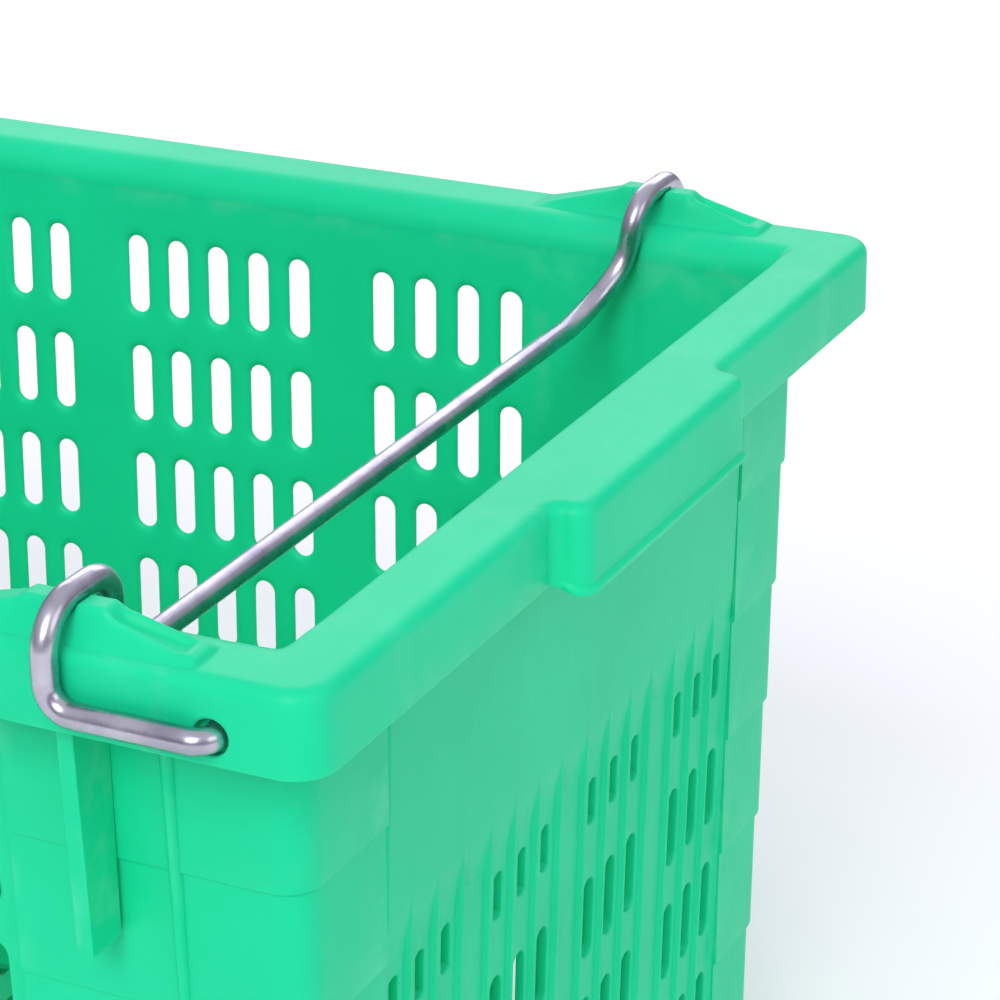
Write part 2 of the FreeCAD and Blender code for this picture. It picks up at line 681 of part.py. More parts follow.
doc.recompute()
for item in doc.Objects:
    if "Invalid" in item.State or "Error" in item.State:
        raise RuntimeError(f"{item.Label} did not compute")
for node in nodes:
    if node.Shape.isNull() or not node.Shape.isValid():
        raise RuntimeError(f"{node.Label} has no valid shape")
for node in nodes:
    node.Shape.exportStep(f"parts/{node.Label}.step")
print(f"{len(nodes)} sub-parts written")
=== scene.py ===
import json
import math

import bmesh
import bpy
import numpy as np
from mathutils import Matrix, Vector


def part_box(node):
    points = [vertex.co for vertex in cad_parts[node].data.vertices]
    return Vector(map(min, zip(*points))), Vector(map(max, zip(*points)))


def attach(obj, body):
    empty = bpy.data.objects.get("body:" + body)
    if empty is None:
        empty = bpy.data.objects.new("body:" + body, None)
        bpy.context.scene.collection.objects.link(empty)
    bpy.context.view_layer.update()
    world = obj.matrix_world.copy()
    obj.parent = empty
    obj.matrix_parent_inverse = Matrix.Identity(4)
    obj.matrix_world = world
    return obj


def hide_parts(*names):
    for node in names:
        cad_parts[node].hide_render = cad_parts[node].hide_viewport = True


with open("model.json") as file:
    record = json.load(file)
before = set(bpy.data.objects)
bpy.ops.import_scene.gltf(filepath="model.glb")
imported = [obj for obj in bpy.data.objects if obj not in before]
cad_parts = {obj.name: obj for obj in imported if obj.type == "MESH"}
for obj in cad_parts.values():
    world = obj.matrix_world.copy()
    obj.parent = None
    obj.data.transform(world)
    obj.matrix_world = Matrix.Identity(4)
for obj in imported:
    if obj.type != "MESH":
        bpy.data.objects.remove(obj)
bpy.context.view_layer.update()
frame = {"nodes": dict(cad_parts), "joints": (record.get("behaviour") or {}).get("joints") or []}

# Lengths below are millimetres in the row frame until a mesh is made.  "Inset" is a distance
# inwards from the rim's outermost face and "depth" a distance under the rim's top.
MM = 0.001


def box_mm(node):
    """Lowest and highest corner of a CAD node, in millimetres."""
    low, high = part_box(node)
    return low / MM, high / MM


RAIL_LOW, RAIL_HIGH = box_mm("rim_rail_front")
END_LOW, END_HIGH = box_mm("rim_rail_right_front")
GRIP_LOW, GRIP_HIGH = box_mm("hand_grip_right")
WALL_LOW, WALL_HIGH = box_mm("wall_front")
FIN_LOW, FIN_HIGH = box_mm("bail_fin_right_front")
STUD_LOW, STUD_HIGH = box_mm("post_rib_right_front")
PIVOT = Vector(frame["joints"][0]["pos_m"]) / MM

RIM_TOP = RAIL_HIGH.z
HALF_LENGTH = END_HIGH.x
HALF_WIDTH = -RAIL_LOW.y
SIDE_LIP = HALF_WIDTH + RAIL_HIGH.y
END_LIP = HALF_LENGTH - END_LOW.x
CORNER_X = RAIL_HIGH.x
CORNER_Y = -END_LOW.y
SKIRT_DEPTH = RIM_TOP - RAIL_LOW.z
PLATE = RIM_TOP - WALL_HIGH.z
WALL_END = WALL_HIGH.x
FLOOR_DEPTH = RIM_TOP - WALL_LOW.z
PANEL_END = box_mm("wall_right")[1].y

# Rim and wall section.  The lip is the rim's inner edge, which rounds down into the wall and ends
# at LIP_FOOT.  EDGE_ZONE is the strip behind the outer face that keeps its width round a bend.
TAPER = 0.04
WALL_THICK = 2.8
SKIRT_THICK = 2.8
RIM_ROUND = 4.4
SIDE_LIP_ROUND, END_LIP_ROUND = 10.5, 2.4
LIP_FOOT = 11.5
FOOT_ROUND = 0.7
EDGE_ZONE = 6.0
RIM_OUTER_RADIUS, RIM_INNER_RADIUS = 12.0, 6.0

# Points closer than WELD become one, and edges that turn by more than SHARP degrees stay crisp.
WELD = 0.004
SHARP = 40.0

SIDES = (("right", 1), ("left", -1))
ENDS = (("front", 1), ("back", -1))
FOUR_CORNERS = [(f"{side}_{end}", sx, sy) for side, sx in SIDES for end, sy in ENDS]
CORNER_MIRRORS = [(f"_{corner}", (sx, sy)) for corner, sx, sy in FOUR_CORNERS]


def smooth(low, high, value):
    """0 before low, 1 after high, eased in between."""
    share = np.clip((value - low) / (high - low), 0.0, 1.0)
    return share * share * (3 - 2 * share)


def steps(low, high, count):
    """Evenly spaced values from low to high, count intervals."""
    return [low + (high - low) * i / count for i in range(count + 1)]


class Patchwork:
    """Grids and rings of points, welded into one closed mesh."""

    def __init__(self):
        self.points = []
        self.faces = []

    def grid(self, rows, skip=()):
        """Quads between neighbouring rows of points, but for the cells in skip."""
        rows = np.asarray(rows, float)
        start = len(self.points)
        high, wide = rows.shape[:2]
        self.points.extend(rows.reshape(-1, 3))
        for i in range(high - 1):
            for j in range(wide - 1):
                if (i, j) not in skip:
                    corner = start + i * wide + j
                    self.faces.append((corner, corner + 1, corner + wide + 1, corner + wide))

    def rings(self, rings):
        """A tube of closed rings with the same number of points."""
        self.grid([list(ring) + [ring[0]] for ring in rings])

    def cap(self, ring):
        """One face that closes a ring."""
        start = len(self.points)
        self.points.extend(np.asarray(ring, float))
        self.faces.append(tuple(range(start, start + len(ring))))

    def piece(self, name, material, body, nodes, mirror=(1, 1), sharp=SHARP):
        """Makes the object, mirrored across the crate's planes where mirror holds -1."""
        points = np.array(self.points) * np.array([mirror[0], mirror[1], 1]) * MM
        mesh = bpy.data.meshes.new(name)
        mesh.from_pydata([tuple(p) for p in points], [], self.faces)
        work = bmesh.new()
        work.from_mesh(mesh)
        bmesh.ops.remove_doubles(work, verts=work.verts, dist=WELD * MM)
        bmesh.ops.dissolve_degenerate(work, edges=work.edges, dist=WELD * MM / 2)
        bmesh.ops.recalc_face_normals(work, faces=work.faces)
        work.to_mesh(mesh)
        work.free()
        mesh.shade_smooth()
        mesh.set_sharp_from_angle(angle=math.radians(sharp))
        mesh.materials.append(material)
        obj = bpy.data.objects.new(name, mesh)
        bpy.context.scene.collection.objects.link(obj)
        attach(obj, body)
        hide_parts(*nodes)
        return obj


# ---------------------------------------------------------------- slotted sheets

def slot_rings(centre, reach, radius, border, profile):
    """Rings from a cell's border to a slot's wall.  profile holds (distance out, share of depth)."""
    rings = []
    middles = [np.array([centre[0], np.clip(v, centre[1] - reach, centre[1] + reach)]) for _, v in border]
    for out, share in profile:
        ring = []
        for (u, v), middle in zip(border, middles):
            away = np.array([u, v]) - middle
            spot = middle + away / np.linalg.norm(away) * (radius + out)
            ring.append((spot[0], spot[1], share))
        rings.append(ring)
    return rings


def slot_profile(front_wide, front_deep, back_wide, back_deep, count=4):
    """Rounded lip on both faces of a slot, as (distance out, share of the thickness)."""
    turn = steps(0, math.pi / 2, count)
    front = [(front_wide * (1 - math.sin(t)), front_deep * (1 - math.cos(t))) for t in turn]
    back = [(back_wide * (1 - math.sin(t)), 1 - back_deep * (1 - math.cos(t))) for t in turn]
    return front + back[::-1]


def slotted_sheet(us, vs, slots, front, back, profile):
    """A sheet between two surfaces given over the lines us and vs, with slots through it."""
    def at(u, v, share):
        return np.array(front(u, v)) * (1 - share) + np.array(back(u, v)) * share

    work = Patchwork()
    skip = set()
    for i0, i1, j0, j1, reach, radius in slots:
        skip.update((i, j) for i in range(i0, i1) for j in range(j0, j1))
        border = [(us[i], vs[j0]) for i in range(i0, i1)]
        border += [(us[i1], vs[j]) for j in range(j0, j1)]
        border += [(us[i], vs[j1]) for i in range(i1, i0, -1)]
        border += [(us[i0], vs[j]) for j in range(j1, j0, -1)]
        centre = ((us[i0] + us[i1]) / 2, (vs[j0] + vs[j1]) / 2)
        rings = [[(u, v, 0.0) for u, v in border]]
        rings += slot_rings(centre, reach, radius, border, profile)
        rings += [[(u, v, 1.0) for u, v in border]]
        work.rings([[at(*spot) for spot in ring] for ring in rings])
    faces = [[[at(u, v, share) for v in vs] for u in us] for share in (0.0, 1.0)]
    for face in faces:
        work.grid(face, skip)
    for strip in ([face[0] for face in faces], [face[-1] for face in faces],
                  [[row[0] for row in face] for face in faces],
                  [[row[-1] for row in face] for face in faces]):
        work.grid(strip)
    return work


def lines_and_slots(centres, half, lines):
    """Adds the lines across each slot's cell and returns the index ranges of the cells."""
    ranges = []
    crossing = [centre + part for centre in centres for part in half]
    merged = sorted(set(round(line, 4) for line in lines + crossing))
    for centre in centres:
        low = merged.index(round(centre + half[0], 4))
        high = merged.index(round(centre + half[-1], 4))
        ranges.append((low, high))
    return merged, ranges


CELL_COLUMNS = 8
CELL_ANGLES = (0, 13, 26, 39)


def across_cell(cell, reach):
    """Offsets of the lines across one cell: even angles round the slot's end, then straight."""
    beyond = [reach + cell / 2 * math.tan(math.radians(angle)) for angle in CELL_ANGLES]
    return [-b for b in reversed(beyond)] + beyond


# SLOT_GROUPS gives the first centre and the number of slots of each group right of the middle.
# SLOT_LIPS is the rounding round a slot: width in front, share of the thickness, and both behind.
SLOT_WIDE, SLOT_TALL, SLOT_PITCH = 8.6, 30.0, 17.25
SLOT_GROUPS = ((17.5, 5), (121.5, 4))
SLOT_FIRST, ROW_PITCH, ROWS = 44.6, 43.35, 7
SLOT_LIPS = (1.3, 0.35, 3.4, 0.58)
WALL_EDGE_LINES = [LIP_FOOT, 17.0, FLOOR_DEPTH - 8, FLOOR_DEPTH]


def side_inset(depth):
    """Inset of the long walls' inner face."""
    return SIDE_LIP + TAPER * (depth - LIP_FOOT)


def end_inset(depth):
    """Inset of the end walls' inner face."""
    return END_LIP + TAPER * (depth - LIP_FOOT)


def build_long_walls(material):
    """Tapered walls with rows of upright slots, wide open towards the inside."""
    centres = [first + SLOT_PITCH * k for first, count in SLOT_GROUPS for k in range(count)]
    centres = sorted([-c for c in centres] + centres)
    half_cell = SLOT_PITCH / 2
    reach = (SLOT_TALL - SLOT_WIDE) / 2
    across = steps(-half_cell, half_cell, CELL_COLUMNS)
    xs, columns = lines_and_slots(centres, across, [-WALL_END, 0.0, WALL_END])
    depths = [SLOT_FIRST + ROW_PITCH * k for k in range(ROWS)]
    half_row = [-ROW_PITCH / 2] + across_cell(SLOT_PITCH, reach) + [ROW_PITCH / 2]
    ds, rows = lines_and_slots(depths, half_row, WALL_EDGE_LINES)
    slots = [(*column, *row, reach, SLOT_WIDE / 2) for column in columns for row in rows]

    def front(x, depth):
        return x, -(HALF_WIDTH - side_inset(depth) + WALL_THICK), RIM_TOP - depth

    def back(x, depth):
        return x, -(HALF_WIDTH - side_inset(depth)), RIM_TOP - depth

    work = slotted_sheet(xs, ds, slots, front, back, slot_profile(*SLOT_LIPS))
    for end, sy in ENDS:
        work.piece(f"long_wall_{end}", material, "crate", [f"wall_{end}"], (1, sy))


# The panel stands proud of the wall and eases back to it along PANEL_SLOPE at both sides.  Its field
# sinks by RECESS_DEEP over RECESS_RUN, but not at the ribs between the slots.
END_SLOT_WIDE, END_SLOT_PITCH, END_SLOT_TALL, END_TOP_TALL = 8.2, 16.5, 29.0, 16.0
END_GROUPS = (-102.0, -34.0, 34.0, 102.0)
END_TOP_ROW, END_SECOND_ROW, END_ROW_PITCH, END_LOW_ROWS = 137.5, 180.7, 45.2, 4
END_SLOT_LIPS = (1.0, 0.16, 1.2, 0.2)
RECESS_DEEP, RECESS_TOP, RECESS_RUN = 1.7, 106.0, 20.0
RECESS_LINES = steps(RECESS_TOP, RECESS_TOP + RECESS_RUN, 12)[:5]
RIB_HALF, RIB_SHOULDER, RIB_FOOT, RIB_GAP = 0.6, 1.2, 1.8, 0.15
PANEL_PROUD, PANEL_EDGE, PANEL_THICK, PANEL_PLAIN = 2.4, 2.6, 5.3, 2.5
PANEL_SLOPE = (4.6, 0.3)
PANEL_SIDE_LINES = (0.0, 0.8, 1.8, 3.0, 4.2, 5.2)
PANEL_TOP_LINES = [LIP_FOOT, 20.0, 60.0]
PANEL_FOOT_LINES = [FLOOR_DEPTH - 3, FLOOR_DEPTH]
FIELD_MARGIN = 0.1
ROW_GAP = 2.0


def build_end_panels(material):
    """Raised panel whose field sinks below a slope line, leaving slim ribs between the slots."""
    centres = [group + END_SLOT_PITCH * k for group in END_GROUPS for k in (-1, 0, 1)]
    ribs = sorted(set(group + END_SLOT_PITCH * k for group in END_GROUPS for k in (-1.5, -0.5, 0.5, 1.5)))
    half_cell = END_SLOT_PITCH / 2 - RIB_FOOT - RIB_GAP
    edge = PANEL_END + PANEL_EDGE
    half_rib = (RIB_HALF, RIB_SHOULDER, RIB_FOOT)
    across_rib = [-part for part in half_rib] + [0] + list(half_rib)
    extra = [rib + part for rib in ribs for part in across_rib if abs(rib + part) < PANEL_END - PANEL_PLAIN]
    extra += [side * (edge - part) for side in (-1, 1) for part in PANEL_SIDE_LINES]
    extra += [0.0]
    ys, columns = lines_and_slots(centres, steps(-half_cell, half_cell, CELL_COLUMNS), extra)
    reach = (END_SLOT_TALL - END_SLOT_WIDE) / 2
    top_reach = (END_TOP_TALL - END_SLOT_WIDE) / 2
    depths = [END_TOP_ROW] + [END_SECOND_ROW + END_ROW_PITCH * k for k in range(END_LOW_ROWS)]
    row_edge = END_ROW_PITCH / 2 - ROW_GAP
    half_row = [-row_edge] + across_cell(half_cell * 2, reach) + [row_edge]
    ds, rows = lines_and_slots(depths, half_row, PANEL_TOP_LINES + RECESS_LINES + PANEL_FOOT_LINES)
    slots = [(*column, *row, top_reach if row == rows[0] else reach, END_SLOT_WIDE / 2)
             for column in columns for row in rows]

    def recess(y, depth):
        nearest = min(abs(y - rib) for rib in ribs)
        field = smooth(RIB_HALF / 2, RIB_FOOT, nearest) * (abs(y) < max(ribs) + FIELD_MARGIN)
        return RECESS_DEEP * smooth(RECESS_TOP, RECESS_TOP + RECESS_RUN, depth) * field

    def front(y, depth):
        inset = end_inset(depth) - PANEL_THICK + recess(y, depth)
        inset += PANEL_PROUD * smooth(edge - PANEL_SLOPE[0], edge - PANEL_SLOPE[1], abs(y))
        return HALF_LENGTH - inset, y, RIM_TOP - depth

    def back(y, depth):
        return HALF_LENGTH - end_inset(depth), y, RIM_TOP - depth

    work = slotted_sheet(ys, ds, slots, front, back, slot_profile(*END_SLOT_LIPS))
    for side, sx in SIDES:
        work.piece(f"end_panel_{side}", material, "crate", [f"wall_{side}"], (sx, 1))


# ---------------------------------------------------------------- rim

class Station:
    """One cross-section of the rim: outermost point, outward normal and inner lip point."""

    def __init__(self, outer, normal, lip, lip_round=END_LIP_ROUND, depth=SKIRT_DEPTH, bead=None):
        self.outer = np.array(outer, float)
        self.normal = np.array(normal, float)
        self.lip = np.array(lip, float)
        self.lip_round = lip_round
        self.depth = depth
        self.bead = bead

    def spot(self, kind, reach, depth):
        """Point at a depth.  reach is a distance in from the outer face ("edge") or out from the lip
        ("lip"), or the share of the way from the shoulder to the lip ("plate")."""
        shoulder = self.outer - self.normal * EDGE_ZONE
        if kind == "edge":
            plan = self.outer - self.normal * reach
        elif kind == "plate":
            plan = shoulder + (self.lip - shoulder) * reach
        else:
            inwards = (shoulder - self.lip) / np.linalg.norm(shoulder - self.lip)
            plan = self.lip + inwards * reach
        return plan[0], plan[1], RIM_TOP - depth


# Shape of the rim's outline: the beads and fillets are (distance, height or depth) steps.
RIM_TURN = steps(0, math.pi / 2, 6)
PLATE_SHARE = 0.3
SKIRT_LINES = (8.0, 16.0)
FOOT_CORNER = 0.2
FOOT_LINE = 2.3
BEAD_SHAPE = ((0, 3.0), (0.55, 2.4), (1, 1.8))
INNER_FILLET = ((0.0, 1.2), (0.4, 0.4), (1.2, 0.0))
LEAST_BEND = 0.4


def rim_ring(station, skirt_lines):
    """Closed outline of the rim's upside-down U at a station, from the lip over the top and back."""
    foot = station.depth
    bend = station.lip_round
    bead = station.bead or 0.0
    spots = [("lip", 0, LIP_FOOT)]
    spots += [("lip", bend * (1 - math.cos(t)), bend * (1 - math.sin(t))) for t in RIM_TURN]
    spots += [("plate", PLATE_SHARE, 0), ("plate", 0, 0), ("edge", RIM_ROUND + 1, 0)]
    spots += [("edge", RIM_ROUND * (1 - math.sin(t)), RIM_ROUND * (1 - math.cos(t))) for t in RIM_TURN]
    spots += [("edge", 0, line) for line in skirt_lines]
    if station.bead is not None:
        spots += [("edge", -bead * share, foot - up) for share, up in BEAD_SHAPE]
    spots += [("edge", -bead, foot - FOOT_ROUND), ("edge", FOOT_CORNER - bead, foot - FOOT_CORNER),
              ("edge", FOOT_ROUND - bead, foot)]
    inside = SKIRT_THICK
    spots += [("edge", inside - FOOT_ROUND, foot), ("edge", inside - FOOT_CORNER, foot - FOOT_CORNER),
              ("edge", inside, foot - FOOT_ROUND), ("edge", inside, foot - FOOT_LINE)]
    spots += [("edge", inside, line) for line in reversed(skirt_lines)]
    spots += [("edge", inside + out, PLATE + down) for out, down in INNER_FILLET]
    spots += [("plate", 0, PLATE), ("plate", PLATE_SHARE, PLATE)]
    bend = max(bend - WALL_THICK, LEAST_BEND)
    spots += [("lip", WALL_THICK + bend * (1 - math.cos(t)), PLATE + bend * (1 - math.sin(t)))
              for t in reversed(RIM_TURN)]
    spots += [("lip", WALL_THICK, LIP_FOOT)]
    return [station.spot(*spot) for spot in spots]


def rim_piece(name, node, stations, material, mirrors, skirt_lines=SKIRT_LINES, hole=None):
    """Lofts the stations, and hole(work, rings) may cut into it.  Mirrored once per suffix."""
    rings = [rim_ring(station, skirt_lines) for station in stations]
    work = Patchwork()
    skip = hole(work, rings) if hole else set()
    work.grid([list(ring) + [ring[0]] for ring in rings], skip)
    work.cap(rings[0])
    work.cap(rings[-1])
    for suffix, mirror in mirrors:
        work.piece(name + suffix, material, "crate", [node + suffix], mirror)


CHANNEL_START, CHANNEL_MIDDLE, CHANNEL_STOP, CHANNEL_DEEP = 190.0, 220.0, 226.0, 2.0
CHANNEL_LINES = steps(CHANNEL_START, CHANNEL_STOP, 18)[1:] + [CHANNEL_STOP + 8]


def channel(x):
    """Depth of the hollow that sinks outwards beside the saddle for the arm's leg."""
    rise = np.clip((abs(x) - CHANNEL_START) / (CHANNEL_MIDDLE - CHANNEL_START), 0, 1) ** 2
    return CHANNEL_DEEP * rise * (1 - smooth(CHANNEL_MIDDLE, CHANNEL_STOP, abs(x)))


def build_side_rails(material):
    """Long rim lengths, their lip hollowed for the arms' legs."""
    xs = steps(0, CHANNEL_START, 8) + CHANNEL_LINES + [CORNER_X]
    xs = [-x for x in xs[:0:-1]] + xs
    stations = [Station((x, -HALF_WIDTH), (0, -1), (x, SIDE_LIP - channel(x) - HALF_WIDTH),
                        SIDE_LIP_ROUND) for x in xs]
    rim_piece("side_rail", "rim_rail", stations, material, [("_front", (1, 1)), ("_back", (1, -1))])


GRIP_CORNER, GRIP_HOLLOW = 6.5, 4.0
GRIP_CORNER_STEPS, GRIP_HOLLOW_STEPS = 10, 6
GRIP_DEPTH = RIM_TOP - GRIP_LOW.z
GRIP_BEAD = 1.2
GRIP_FRONT = GRIP_HIGH.x - GRIP_BEAD
GRIP_HALF = 60.0
SWELL_RUN = 5.0


def arc(centre, radius, start, stop, count, outward=1):
    """Points and outward normals round an arc; outward -1 is a hollow corner."""
    found = []
    for angle in steps(start, stop, count):
        away = np.array([math.cos(math.radians(angle)), math.sin(math.radians(angle))])
        found.append((np.array(centre) + away * radius, away * outward))
    return found


def build_end_rails(material):
    """Short rim lengths between the corners and the grips."""
    ys = steps(-CORNER_Y, -GRIP_HALF - GRIP_HOLLOW, 5)
    stations = [Station((HALF_LENGTH, y), (1, 0), (HALF_LENGTH - END_LIP, y)) for y in ys]
    rim_piece("end_rail", "rim_rail", stations, material, CORNER_MIRRORS)


def build_grips(material):
    """The end rim swells outwards into a hollow hold with a beaded foot."""
    half, front, hollow = GRIP_HALF, GRIP_FRONT, GRIP_HOLLOW
    path = arc((HALF_LENGTH + hollow, -half - hollow), hollow, 180, 90, GRIP_HOLLOW_STEPS, -1)
    path += arc((front - GRIP_CORNER, -half + GRIP_CORNER), GRIP_CORNER, -90, 0, GRIP_CORNER_STEPS)
    path += [(np.array([front, y]), np.array([1.0, 0.0])) for y in steps(-half + GRIP_CORNER, 0, 4)[1:]]
    lengths = [0.0]
    for (here, _), (there, _) in zip(path, path[1:]):
        lengths.append(lengths[-1] + np.linalg.norm(there - here))
    stations = []
    for (outer, normal), run in zip(path, lengths):
        lip_y = (-half - hollow) * (1 - run / lengths[-1])
        swell = smooth(0.0, lengths[GRIP_HOLLOW_STEPS] + SWELL_RUN, run)
        depth = SKIRT_DEPTH + (GRIP_DEPTH - SKIRT_DEPTH) * swell
        stations.append(Station(outer, normal, (HALF_LENGTH - END_LIP, lip_y), END_LIP_ROUND, depth,
                                GRIP_BEAD * swell))
    flip = np.array([1, -1])
    stations += [Station(s.outer * flip, s.normal * flip, s.lip * flip, s.lip_round, s.depth, s.bead)
                 for s in reversed(stations[:-1])]
    rim_piece("grip", "hand_grip", stations, material, [("_right", (1, 1)), ("_left", (-1, 1))])


HOLE_RADIUS = 5.3
HOLE_X = PIVOT.x - 0.7
HOLE_DEPTH = RIM_TOP - PIVOT.z
HOLE_CELL, HOLE_LINES = 7.6, 8
HOLE_XS = steps(HOLE_X - HOLE_CELL, HOLE_X + HOLE_CELL, HOLE_LINES)
HOLE_DEPTHS = steps(HOLE_DEPTH - HOLE_CELL, HOLE_DEPTH + HOLE_CELL, HOLE_LINES)
# (distance outside the hole's wall, depth behind the skirt's face): a thin raised ring, then the wall
HOLE_PROFILE = ((1.7, 0.0), (1.4, -0.16), (1.0, -0.2), (0.4, -0.2), (0.0, 0.1), (0.0, SKIRT_THICK))
# The hole's cell begins at this station of the corner.
HOLE_STATION = 2
BEND_STEPS = 14


def corner_stations():
    """Stations from the side rail past the pivot's hole and round the corner to the end rail."""
    out_x = HALF_LENGTH - RIM_OUTER_RADIUS
    out_y = HALF_WIDTH - RIM_OUTER_RADIUS
    lip_x = HALF_LENGTH - END_LIP - RIM_INNER_RADIUS
    lip_y = HALF_WIDTH - SIDE_LIP - RIM_INNER_RADIUS
    before = [CORNER_X, CORNER_X + 3] + HOLE_XS + [out_x - 6]
    path = [(np.array([x, -HALF_WIDTH]), np.array([0.0, -1.0])) for x in before]
    lips = [(CORNER_X + (lip_x - CORNER_X) * (x - CORNER_X) / (out_x - CORNER_X), SIDE_LIP - HALF_WIDTH)
            for x in before]
    path += arc((out_x, -out_y), RIM_OUTER_RADIUS, -90, 0, BEND_STEPS)
    lips += [spot for spot, _ in arc((lip_x, -lip_y), RIM_INNER_RADIUS, -90, 0, BEND_STEPS)]
    after = steps(-out_y, -CORNER_Y, 4)[1:]
    path += [(np.array([HALF_LENGTH, y]), np.array([1.0, 0.0])) for y in after]
    lips += [(HALF_LENGTH - END_LIP, -lip_y + (lip_y - CORNER_Y) * (y + out_y) / (out_y - CORNER_Y))
             for y in after]
    rounds = [SIDE_LIP_ROUND + (END_LIP_ROUND - SIDE_LIP_ROUND) * smooth(0, 90, math.degrees(
        math.atan2(normal[0], -normal[1]))) for _, normal in path]
    return [Station(*spot, lip, bend) for spot, lip, bend in zip(path, lips, rounds)]


def pivot_hole(work, rings):
    """Joins the two skirt faces round the pivot's hole, and returns the cells to leave out."""
    def rows_at(back):
        """Rows of the rings that lie on a skirt face and cross the hole's cell."""
        return [j for j, p in enumerate(rings[0]) if abs(p[1] + HALF_WIDTH - back) < WELD
                and any(abs(RIM_TOP - p[2] - line) < WELD for line in HOLE_DEPTHS)]

    border = [(x, HOLE_DEPTHS[0]) for x in HOLE_XS[:-1]]
    border += [(HOLE_XS[-1], depth) for depth in HOLE_DEPTHS[:-1]]
    border += [(x, HOLE_DEPTHS[-1]) for x in HOLE_XS[:0:-1]]
    border += [(HOLE_XS[0], depth) for depth in HOLE_DEPTHS[:0:-1]]
    loops = [[(x, -HALF_WIDTH, RIM_TOP - depth) for x, depth in border]]
    for beyond, deep in HOLE_PROFILE:
        loop = []
        for x, depth in border:
            away = np.array([x - HOLE_X, depth - HOLE_DEPTH])
            away *= (HOLE_RADIUS + beyond) / np.linalg.norm(away)
            loop.append((HOLE_X + away[0], deep - HALF_WIDTH, RIM_TOP - HOLE_DEPTH - away[1]))
        loops.append(loop)
    loops.append([(x, SKIRT_THICK - HALF_WIDTH, RIM_TOP - depth) for x, depth in border])
    work.rings(loops)
    rows = rows_at(0)[:-1] + rows_at(SKIRT_THICK)[:-1]
    return {(HOLE_STATION + i, j) for i in range(HOLE_LINES) for j in rows}


def build_rim_corners(material):
    """Rim bends, with the hole for an arm's pivot in the skirt."""
    rim_piece("rim_bend", "rim_corner", corner_stations(), material, CORNER_MIRRORS, HOLE_DEPTHS, pivot_hole)


# ---------------------------------------------------------------- corner posts

LAP_FIRST, LAP_PITCH, LAP_BANDS = 75.0, 45.5, 7
LAP_SIDE, LAP_END, LAP_STEP, LAP_DRAFT = 24.4, 18.9, 1.82, 0.8
POST_OUTER_RADIUS, POST_INNER_RADIUS = 11.0, 6.0
POST_LAST_LINE = 246.0
POST_BEND_STEPS = 12
BAND_SHARES = (0, 0.3, 0.6)
BAND_FOOT = ((0.9, 0.0), (0.25, 0.15), (0.0, 0.5))


def lap_profile():
    """(depth, extra inset) down a post: every band narrows a little, then steps in at its rounded foot."""
    profile = []
    top = LIP_FOOT
    for band in range(LAP_BANDS):
        inset = LAP_STEP * band - LAP_DRAFT / 2
        foot = min(LAP_FIRST + LAP_PITCH * band, FLOOR_DEPTH)
        profile += [(top + (foot - top) * share, inset + LAP_DRAFT * share) for share in BAND_SHARES]
        profile += [(foot - up, inset + LAP_DRAFT + further) for up, further in BAND_FOOT]
        top = foot
    return profile


def build_posts(material):
    """Corner posts in lapped bands outside, plain and hollowed for the arm's leg inside."""
    profile = lap_profile()
    xs = [WALL_END, CHANNEL_START] + CHANNEL_LINES + [POST_LAST_LINE]

    def outline(depth, side, end, radius, hollow):
        """Plan outline of one face of the post at a depth, with the arm's hollow or without (0)."""
        middle = (HALF_LENGTH - end - radius, side + radius - HALF_WIDTH)
        spots = [(x, side - HALF_WIDTH - hollow * channel(x)) for x in xs]
        spots += [tuple(spot) for spot, _ in arc(middle, radius, -90, 0, POST_BEND_STEPS)]
        spots += [(HALF_LENGTH - end, y) for y in steps(middle[1], -PANEL_END, 2)[1:]]
        return [(x, y, RIM_TOP - depth) for x, y in spots]

    outer = [outline(depth, LAP_SIDE + inset, LAP_END + inset, POST_OUTER_RADIUS, 0)
             for depth, inset in profile]
    inner = [outline(depth, side_inset(depth), end_inset(depth), POST_INNER_RADIUS, 1)
             for depth, _ in profile]
    work = Patchwork()
    for face in (outer, inner):
        work.grid(face)
    for strip in ((outer[0], inner[0]), (outer[-1], inner[-1])):
        work.grid(strip)
    for side in (0, -1):
        work.grid([[row[side] for row in face] for face in (outer, inner)])
    for corner, sx, sy in FOUR_CORNERS:
        work.piece(f"post_{corner}", material, "crate", [f"corner_post_{corner}"], (sx, sy))


# The stud is shifted, and the fin widened, from their CAD boxes' places along X.
STUD_ROOT, STUD_PROUD, STUD_SHIFT = 2.4, 4.1, -1.5
STUD_CURVE = 0.6
FIN_STEP, FIN_DRAFT, FIN_ROOT, FIN_ROUND = 3.6, 6.7, 0.1, 0.6
FIN_LEFT, FIN_RIGHT = FIN_LOW.x - 1.0, FIN_HIGH.x - 0.5


def build_studs(material):
    """Slim round-backed rib that runs down each post."""
    middle = (STUD_LOW.x + STUD_HIGH.x) / 2 + STUD_SHIFT
    half = (STUD_HIGH.x - STUD_LOW.x) / 2
    rings = []
    for depth in steps(PLATE, FLOOR_DEPTH, 6):
        root = HALF_WIDTH - LAP_SIDE - TAPER * depth - STUD_ROOT
        crest = HALF_WIDTH - LAP_SIDE - TAPER * depth + STUD_PROUD
        ring = []
        for angle in steps(0, 180, 10):
            turn = math.radians(angle)
            lift = math.sin(turn) ** STUD_CURVE
            ring.append((middle + half * math.cos(turn), -(root + (crest - root) * lift), RIM_TOP - depth))
        rings.append(ring)
    work = Patchwork()
    work.rings(rings)
    work.cap(rings[0])
    work.cap(rings[-1])
    for corner, sx, sy in FOUR_CORNERS:
        work.piece(f"rib_{corner}", material, "crate", [f"post_rib_{corner}"], (sx, sy))


